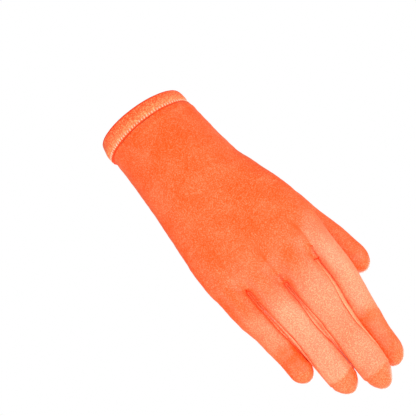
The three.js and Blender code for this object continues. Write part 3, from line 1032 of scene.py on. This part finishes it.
def close_fingers(points, place, thumb_share, on_the_thumb):
    """Brings the fingers and the thumb back from where they were held apart."""
    fall = place["fall"]
    shift = sum(share * apart_by(name, fall) for name, share in zip(NAMES, place["share"]))
    closed = points.copy()
    closed[:, 0] -= shift * (1 - on_the_thumb)
    closed[:, 1] -= thumb_apart_by(thumb_share) * on_the_thumb
    for number, (first, second) in enumerate(PAIRS):
        ax, ay = finger_centre(first, fall)
        bx, by = finger_centre(second, fall)
        length = np.hypot(bx - ax, by - ay)
        to_x, to_y = (bx - ax) / length, (by - ay) / length
        share = half_width(first, fall) / (half_width(first, fall) + half_width(second, fall))
        middle_x, middle_y = mix(ax, bx, share), mix(ay, by, share)
        past = (closed[:, 0] - middle_x) * to_x + (closed[:, 1] - middle_y) * to_y
        facing = ease(-np.abs(points[:, 1] - place["y"]) / place["half"], -0.85, -0.6)
        web_end = WEB_ENDS[first, second]
        below_web = ease(fall, web_end - 1, web_end + 4) * facing * (1 - on_the_thumb)
        tips = TOGETHER * min(FINGERS[first]["reach"], FINGERS[second]["reach"])
        for nearest, side in ((number, 1), (number + 1, -1)):
            over = past * side + CONTACT
            held = mix(over > 0, ease(over, -1.0, -0.4), ease(tips - fall, 0, 6))
            over *= held * below_web
            over *= place["nearest"] == nearest
            closed[:, 0] -= over * side * to_x
            closed[:, 1] -= over * side * to_y
    return closed


def finished(mesh, name, material, wall=None):
    """A finished piece in metres on the glove's one body."""
    mesh.transform(Matrix.Scale(MILLIMETRE, 4))
    mesh.name = name
    piece = bpy.data.objects.new(name, mesh)
    bpy.context.scene.collection.objects.link(piece)
    mesh.materials.clear()
    mesh.materials.append(material)
    for polygon in mesh.polygons:
        polygon.use_smooth = True
    if wall:
        solidify = piece.modifiers.new("cloth", "SOLIDIFY")
        solidify.thickness = wall * MILLIMETRE
        solidify.offset = -1
    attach(piece, "root")
    return piece


def make_cloth(materials):
    """The panels, the strips between the fingers and the thumb, from one skin."""
    bm = bmesh.new()
    bm.from_mesh(rounded(skin_mesh()))
    top = HEM_HEIGHT + 0.15

    def body_line(points):
        return -points[:, 2] - MOUTH_SLANT * (1 - top / SLANT_DEPTH) * points[:, 0] - top

    cut_along(bm, body_line)
    above = [face for face in bm.faces if body_line(np.array([face.calc_center_median()]))[0] < 0]
    bmesh.ops.delete(bm, geom=above, context="FACES")
    piece_of = cut_panels(bm)
    piece_of = refined(bm, piece_of)
    bm.normal_update()
    points = coordinates(bm.verts)
    normals = np.array([vert.normal for vert in bm.verts])
    place = on_fingers(points)
    thumb_share = on_thumb(points)[0]
    on_the_thumb = thumb_weight(points)
    strips = [f"fourchette_{second}_{first}" for first, second in PAIRS]
    seams = {
        "strip": distances(points, seam_points(bm, piece_of, lambda names: names & set(strips))),
        "thumb": distances(points, seam_points(bm, piece_of, lambda names: "thumb" in names)),
        "side": distances(
            points, seam_points(bm, piece_of, lambda names: names == {"back_panel", "palm_panel"})
        ),
    }
    web_points = strip_tops(bm, piece_of)
    points += normals * relief(points, place, seams, on_the_thumb, web_points)[:, None]
    points = close_fingers(points, place, thumb_share, on_the_thumb)
    # How far each point lies from a seam; the satin deepens the colour there, the seam line and painted
    # shade in its valley
    seam_and_painted_shade_layer = bm.verts.layers.float.new("seam")
    # Paleness: partly stretched cloth, partly a painted highlight on the fingers and painted shade at
    # bends, tips and above the webs
    paleness_and_painted_light_layer = bm.verts.layers.float.new("paleness_and_painted_light")
    away_from_seam_and_painted_shade = np.minimum.reduce(list(seams.values()))
    # Painted shade: the fold beside the thumb is darkened as if it lay close to a seam
    away_from_seam_and_painted_shade = np.minimum(away_from_seam_and_painted_shade, 1 - 0.75 * thumb_fold(place, seams))
    for vert, point, away, paleness_and_painted_light in zip(bm.verts, points, away_from_seam_and_painted_shade, paleness_and_painted_light_of(place, on_the_thumb)):
        vert.co = point
        vert[seam_and_painted_shade_layer] = away
        vert[paleness_and_painted_light_layer] = paleness_and_painted_light
    for name in sorted(set(piece_of)):
        part = bm.copy()
        part.faces.ensure_lookup_table()
        others = [part.faces[i] for i in np.flatnonzero(piece_of != name)]
        bmesh.ops.delete(part, geom=others, context="FACES")
        mesh = bpy.data.meshes.new(name)
        part.to_mesh(mesh)
        part.free()
        strip = name.startswith("fourchette")
        # The strips get the satin coloured lighter, painted light against the shade between the fingers
        piece = finished(mesh, "cloth_" + name, materials["strip satin with painted light" if strip else "satin"], WALL)
        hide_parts(name)
    bm.free()


# The hem: its section round the cuff, from the fold over the outer face to the inner face
HEM_COLUMNS = ("at", "depth", "out")
HEM_ROWS = (
    (0.0, 0.9, -HEM_WALL),
    (0.06, 0.15, -1.75),
    (0.12, 0.0, -1.05),
    (0.18, 0.2, -0.35),
    (0.25, 0.95, 0.0),
    (0.4, 4.5, 0.22),
    (0.55, 7.6, 0.1),
    (0.62, 8.7, -0.12),
    (0.67, 9.5, -0.38),
    (0.72, 10.3, -0.2),
    (0.77, 10.9, -0.35),
    (0.81, 11.15, -0.9),
    (0.86, 11.1, -1.6),
    (0.9, 10.6, -HEM_WALL),
    (1.0, 0.9, -HEM_WALL),
)
HEM_SEGMENTS = 480
HEM_PROFILE = 64
HEM_GROOVE = 10.9
HEM_FLARE = 1.5
STITCH_PITCH = 1.9
STITCH_DEPTH = 9.5
STITCH_SIZE = (0.4, 0.9, 0.42)
STITCH_BEDDING = 0.3
STITCH_TURN = 14
hem_table = SmoothTable(HEM_COLUMNS, HEM_ROWS)


def hem_point(angle, depth, out):
    """A point of the hem, which stands off the wrist a little on the side away from the thumb."""
    flare = HEM_FLARE * bump(angle, math.pi, 0.7) * ease(depth, 0, 8)
    return cuff_point(angle, depth, out + flare)


def cuff_point(angle, depth, out):
    """A point of the cuff at an angle round it, moved outwards."""
    sections = hand_sections(np.maximum(depth, 0.08 * PALM_LENGTH))
    x = sections["centre"][..., 0] + (sections["half"] + out) * np.cos(angle)
    y = (sections["back"] + out) * np.sin(angle)
    slant = MOUTH_SLANT * np.clip(1 - depth / SLANT_DEPTH, 0, 1)
    return np.stack([x, y, -depth - slant * x], axis=-1)


def even_angles(count):
    """Angles that are evenly spaced along the cuff."""
    angle = np.linspace(0, 2 * math.pi, 721)
    line = cuff_point(angle, np.full(721, STITCH_DEPTH), 0)
    run = np.concatenate([[0], np.cumsum(np.linalg.norm(np.diff(line, axis=0), axis=1))])
    return np.interp(np.arange(count) / count * run[-1], run, angle), run[-1]


def make_hem(material):
    bm = bmesh.new()
    seam_and_painted_shade_layer = bm.verts.layers.float.new("seam")
    paleness_and_painted_light_layer = bm.verts.layers.float.new("paleness_and_painted_light")
    made = bmesh.ops.create_grid(bm, x_segments=HEM_SEGMENTS, y_segments=HEM_PROFILE, size=1)
    flat = coordinates(made["verts"])
    around = (flat[:, 0] + 1) / 2
    along = (flat[:, 1] + 1) / 2
    angles, length = even_angles(HEM_SEGMENTS)
    angle = np.interp(around, np.linspace(0, 1, HEM_SEGMENTS + 1), [*angles, 2 * math.pi])
    depth = hem_table.read("depth", along)
    out = hem_table.read("out", along)
    stitches = round(length / STITCH_PITCH)
    at_stitch = bump(depth, STITCH_DEPTH, 1.5) * ease(out, -0.9, -0.4)
    out = out - 0.1 * at_stitch * (1 + np.cos(2 * math.pi * around * stitches))
    out = out + HEM_WAVE_HIGH * added_waves(HEM_WAVES, angle) * bump(depth, 5, 5)
    # Painted shade: a dark line along the fold edge and a painted shadow in the groove below the
    # stitching, drawn with the seam colour
    away_from_painted_fold_shade = np.where(out > -1.9, np.maximum(depth - 0.75, 0), 1)
    away_from_painted_groove_shadow = np.abs(depth - HEM_GROOVE) * 0.8
    # Painted shade: the hem is deeper towards its rolled fold and paler towards the stitching
    painted_light_on_hem = 0.05 + 0.6 * ease(depth, 2.5, 9)
    seam = np.minimum(away_from_painted_fold_shade, away_from_painted_groove_shadow)
    for vert, point, away, paleness_and_painted_light in zip(made["verts"], hem_point(angle, depth, out), seam, painted_light_on_hem):
        vert.co = point
        vert[seam_and_painted_shade_layer] = away
        vert[paleness_and_painted_light_layer] = paleness_and_painted_light
    bmesh.ops.remove_doubles(bm, verts=bm.verts, dist=0.01)
    bmesh.ops.recalc_face_normals(bm, faces=bm.faces)
    mesh = bpy.data.meshes.new("hem")
    bm.to_mesh(mesh)
    bm.free()
    piece = finished(mesh, "turned_hem", material)
    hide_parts("cuff_hem")
    return stitches


def make_stitching(material, stitches):
    """The light stitches that hold the hem, each one bedded in the cloth."""
    bm = bmesh.new()
    angles, _ = even_angles(stitches)
    for number, angle in enumerate(angles):
        uneven = noise.noise((number * 1.7, 0, 0))
        here, beside, below = (
            Vector(hem_point(angle + turned, np.array(STITCH_DEPTH + lower), -STITCH_BEDDING))
            for turned, lower in ((0, 0), (0.01, 0), (0, 0.5))
        )
        tangent = (beside - here).normalized()
        down = (below - here).normalized()
        out = tangent.cross(down).normalized()
        if out.dot(Vector((here.x, here.y, 0))) < 0:
            out.negate()
        axes = Matrix((tangent, down, out)).transposed().to_4x4()
        turn = Matrix.Rotation(math.radians(STITCH_TURN + 16 * uneven), 4, "Z")
        wide, long, high = STITCH_SIZE
        size = Matrix.Diagonal((wide + 0.1 * uneven, long + 0.35 * uneven, high, 1))
        matrix = Matrix.Translation(here) @ axes @ turn @ size
        bmesh.ops.create_uvsphere(bm, u_segments=8, v_segments=6, radius=1, matrix=matrix)
    bmesh.ops.recalc_face_normals(bm, faces=bm.faces)
    mesh = bpy.data.meshes.new("stitching")
    bm.to_mesh(mesh)
    bm.free()
    piece = finished(mesh, "hem_stitching", material)


# Materials

# Sockets of the node that mixes two colours
MIX_FACTOR = 0
MIX_FIRST = 6
MIX_SECOND = 7
MIX_RESULT = 2

# The satins: the colour between their specks, of the specks and where the cloth is paler, partly because
# it is stretched and partly as a painted highlight, each as the red, green and blue of a picture, and how
# strong the specks are. The strip satin is coloured lighter, painted light against the shade between the
# fingers.
Satin = namedtuple("Satin", "deep light taut grain")
SATINS = {
    "satin": Satin((252, 80, 0), (255, 184, 136), (255, 117, 79), 0.46),
    # Painted light: the strips are the same satin, coloured lighter against the shade between the fingers
    "strip satin with painted light": Satin((253, 98, 30), (255, 194, 152), (255, 142, 98), 0.6),
    "hem satin": Satin((252, 66, 2), (255, 172, 114), (255, 116, 58), 0.95),
}
# Deep red of the seam lines, with painted shade in their valleys, in the fold beside the thumb and at the
# hem's fold edge and groove
SEAM_AND_PAINTED_SHADE_COLOUR = (246, 62, 0)
SHEEN_COLOUR = (255, 160, 110)
THREAD_COLOURS = ((255, 176, 136), (255, 204, 176))
FINE_SPECKS = 1500
MOTTLING = 70
WEAVE = 420
SPECKS_BEGIN = 0.42
SPECKS_END = 0.8
SPECKS_MORE_ON_PAINTED_HIGHLIGHT = 0.8
MOTTLING_STRENGTH = 0.3
PAINTED_SEAM_SHADE_BEGINS = 0.12
PAINTED_SEAM_SHADE_ENDS = 0.7
SATIN_ROUGHNESS = 0.4
SEAM_ROUGHNESS = 0.35


class Term:
    """A number in a shader: sums and products of it add the nodes that work them out."""

    def __init__(self, nodes, socket):
        self.nodes = nodes
        self.socket = socket

    def _with(self, operation, first, second):
        return self.nodes.add("ShaderNodeMath", {"operation": operation}, {0: first, 1: second}).term()

    def __add__(self, other):
        return self._with("ADD", self, other)

    def __sub__(self, other):
        return self._with("SUBTRACT", self, other)

    def __mul__(self, other):
        return self._with("MULTIPLY", self, other)

    def __rsub__(self, other):
        return self._with("SUBTRACT", other, self)

    def clamped(self):
        settings = {"operation": "ADD", "use_clamp": True}
        return self.nodes.add("ShaderNodeMath", settings, {0: self, 1: 0.0}).term()

    __radd__ = __add__
    __rmul__ = __mul__


class Made:
    """A node that was added, whose outputs are read as terms."""

    def __init__(self, nodes, node):
        self.nodes = nodes
        self.node = node

    def term(self, output=0):
        return Term(self.nodes, self.node.outputs[output])


class Nodes:
    """The node tree of one material."""

    def __init__(self, name):
        self.material = bpy.data.materials.new(name)
        self.material.use_nodes = True
        self.tree = self.material.node_tree
        self.shader = self.tree.nodes["Principled BSDF"]

    def add(self, kind, settings=None, inputs=None):
        node = self.tree.nodes.new(kind)
        for key, value in (settings or {}).items():
            setattr(node, key, value)
        self.feed(node, inputs or {})
        return Made(self, node)

    def feed(self, node, inputs):
        for key, value in inputs.items():
            if isinstance(value, Term):
                self.tree.links.new(value.socket, node.inputs[key])
            else:
                node.inputs[key].default_value = value

    def blend(self, share, first, second):
        """A colour between two others."""
        inputs = {MIX_FACTOR: share, MIX_FIRST: first, MIX_SECOND: second}
        return self.add("ShaderNodeMix", {"data_type": "RGBA"}, inputs).term(MIX_RESULT)

    def noise(self, scale, detail, roughness):
        """Noise over the piece, its scale given as spots for each metre."""
        place = self.add("ShaderNodeTexCoord").term("Object")
        inputs = {"Vector": place, "Scale": scale, "Detail": detail, "Roughness": roughness}
        return self.add("ShaderNodeTexNoise", {}, inputs).term()


def linear(red, green, blue):
    """A shader colour from the 0 to 255 values that a picture shows."""
    shades = [value / 255 for value in (red, green, blue)]
    return (*[s / 12.92 if s <= 0.04045 else ((s + 0.055) / 1.055) ** 2.4 for s in shades], 1)


def satin(name):
    """Elastic satin: fine light specks, in part painted glints of its yarns, and mottling. It is paler
    where the paleness attribute is high, in part stretched cloth and in part painted highlight and shade,
    and deeper in seams: the seam lines and painted shade in their valleys.
    """
    nodes = Nodes(name)
    deep, light, pale_and_highlit = (linear(*colour) for colour in SATINS[name][:3])
    fine = nodes.noise(FINE_SPECKS, 1, 0.7)
    coarse = nodes.noise(MOTTLING, 2, 0.55)
    paleness_and_painted_light = nodes.add("ShaderNodeAttribute", {"attribute_name": "paleness_and_painted_light"}).term("Fac")
    settings = {"interpolation_type": "LINEAR"}
    limits = {"Value": fine, "From Min": SPECKS_BEGIN, "From Max": SPECKS_END}
    limits.update({"To Min": 0.0, "To Max": SATINS[name].grain})
    specks = nodes.add("ShaderNodeMapRange", settings, limits).term()
    mottling = (coarse - 0.5) * MOTTLING_STRENGTH
    # Light specks: the satin's grain, partly painted glints of its yarns, stronger on the fingers' painted
    # highlight
    tone = specks * (1.04 + paleness_and_painted_light * SPECKS_MORE_ON_PAINTED_HIGHLIGHT) + mottling
    # Paler colour where the paleness is high: painted highlight and shade, partly stretched cloth
    cloth = nodes.blend(paleness_and_painted_light.clamped(), deep, pale_and_highlit)
    cloth = nodes.blend(tone.clamped(), cloth, light)
    # Deeper colour near the seams: the seam lines and painted shade in their valleys
    seam = nodes.add("ShaderNodeAttribute", {"attribute_name": "seam"}).term("Fac")
    settings = {"interpolation_type": "SMOOTHSTEP"}
    limits = {"Value": seam, "From Min": PAINTED_SEAM_SHADE_BEGINS, "From Max": PAINTED_SEAM_SHADE_ENDS, "To Min": 1.0, "To Max": 0.0}
    seam_and_painted_shade = nodes.add("ShaderNodeMapRange", settings, limits).term()
    colour = nodes.blend(seam_and_painted_shade, cloth, linear(*SEAM_AND_PAINTED_SHADE_COLOUR))
    place = nodes.add("ShaderNodeTexCoord").term("Object")
    settings = {"wave_type": "BANDS", "bands_direction": "DIAGONAL"}
    inputs = {"Vector": place, "Scale": WEAVE, "Distortion": 1.5}
    weave = nodes.add("ShaderNodeTexWave", settings, inputs).term()
    inputs = {"Height": fine * 0.7 + weave * 0.3, "Strength": 0.3, "Distance": 0.0001}
    cloth_bump = nodes.add("ShaderNodeBump", {}, inputs).term()
    nodes.feed(
        nodes.shader,
        {
            "Base Color": colour,
            "Roughness": SATIN_ROUGHNESS + fine * 0.08 + seam_and_painted_shade * SEAM_ROUGHNESS,
            "Normal": cloth_bump,
            "Specular IOR Level": 0.38,
            "Sheen Weight": 0.03,
            "Sheen Roughness": 0.5,
            "Sheen Tint": linear(*SHEEN_COLOUR),
        },
    )
    return nodes.material


def thread(name):
    """Matt light thread."""
    nodes = Nodes(name)
    dark, light = (linear(*colour) for colour in THREAD_COLOURS)
    colour = nodes.blend(nodes.noise(2500, 2, 0.6), dark, light)
    nodes.feed(nodes.shader, {"Base Color": colour, "Roughness": 0.5, "Sheen Weight": 0.3})
    return nodes.material


# Lights and floor in metres and watts
Light = namedtuple("Light", "name place wide high power")
LIGHTS = (
    Light("front light", (0.3, -1.18, -0.74), 2.6, 0.26, 15),
    Light("left light", (-1.15, -0.6, -0.3), 1.0, 1.0, 8),
    Light("right light", (1.15, -0.3, -0.3), 1.0, 1.0, 6),
    Light("top light", (0, 0.5, 1.6), 2.0, 2.0, 6),
    Light("palm light", (0.2, 1.3, -0.5), 1.7, 0.35, 14),
)
LIT_POINT = (0, 0, -0.1)
FLOOR_HEIGHT = -0.95
FLOOR_SIZE = 6
FLOOR_COLOUR = (0.9, 0.9, 0.9, 1)


def make_camera():
    """The photograph's camera: below the glove, looking up at the back of the hand, and rolled."""
    below, roll = math.radians(CAMERA_BELOW), math.radians(CAMERA_ROLL)
    ahead = Vector((0, math.cos(below), math.sin(below)))
    level_up = Vector((0, -math.sin(below), math.cos(below)))
    level_right = Vector((1, 0, 0))
    right = level_right * math.sin(roll) - level_up * math.cos(roll)
    up = level_right * math.cos(roll) + level_up * math.sin(roll)
    pixel = CAMERA_SENSOR / CAMERA_LENS / PHOTO_SIZE
    across_photo = (MOUTH_PIXEL[0] - PHOTO_SIZE / 2) * pixel
    down_photo = (MOUTH_PIXEL[1] - PHOTO_SIZE / 2) * pixel
    to_mouth = ahead + right * across_photo - up * down_photo
    reach = CAMERA_DISTANCE * math.cos(below) / to_mouth.y
    data = bpy.data.cameras.new("camera")
    data.lens = CAMERA_LENS
    data.sensor_width = CAMERA_SENSOR
    data.clip_start = 0.01
    data.clip_end = 100
    camera = bpy.data.objects.new("camera", data)
    axes = Matrix((right, up, -ahead)).transposed().to_4x4()
    camera.matrix_world = Matrix.Translation(Vector(MOUTH_POINT) - to_mouth * reach) @ axes
    bpy.context.scene.collection.objects.link(camera)
    bpy.context.scene.camera = camera


def make_light(light):
    """A rectangular light that shines on the middle of the glove."""
    data = bpy.data.lights.new(light.name, "AREA")
    data.shape = "RECTANGLE"
    data.size = light.wide
    data.size_y = light.high
    data.energy = light.power
    lamp = bpy.data.objects.new(light.name, data)
    lamp.location = light.place
    lamp.rotation_mode = "QUATERNION"
    lamp.rotation_quaternion = (Vector(LIT_POINT) - lamp.location).to_track_quat("-Z", "Y")
    bpy.context.scene.collection.objects.link(lamp)


def make_studio():
    """Soft light, a white background and a pale floor."""
    scene = bpy.context.scene
    scene.view_settings.view_transform = "Standard"
    world = bpy.data.worlds.new("studio")
    scene.world = world
    world.use_nodes = True
    tree = world.node_tree
    soft = tree.nodes["Background"]
    seen = tree.nodes.new("ShaderNodeBackground")
    for background, strength in ((soft, 0.28), (seen, 1.0)):
        background.inputs["Color"].default_value = (1, 1, 1, 1)
        background.inputs["Strength"].default_value = strength
    path = tree.nodes.new("ShaderNodeLightPath")
    either = tree.nodes.new("ShaderNodeMixShader")
    tree.links.new(path.outputs["Is Camera Ray"], either.inputs[0])
    tree.links.new(soft.outputs[0], either.inputs[1])
    tree.links.new(seen.outputs[0], either.inputs[2])
    tree.links.new(either.outputs[0], tree.nodes["World Output"].inputs["Surface"])
    for light in LIGHTS:
        make_light(light)
    bm = bmesh.new()
    under = Matrix.Translation((0, 0, FLOOR_HEIGHT))
    bmesh.ops.create_grid(bm, x_segments=1, y_segments=1, size=FLOOR_SIZE, matrix=under)
    floor = object_from(bm, "floor")
    bm.free()
    nodes = Nodes("pale floor")
    colours = {"Base Color": FLOOR_COLOUR, "Emission Color": FLOOR_COLOUR}
    nodes.feed(nodes.shader, {**colours, "Roughness": 0.9, "Emission Strength": 0.55})
    floor.data.materials.append(nodes.material)


make_camera()
make_studio()
materials = {name: satin(name) for name in SATINS}
make_cloth(materials)
stitch_count = make_hem(materials["hem satin"])
make_stitching(thread("stitching thread"), stitch_count)
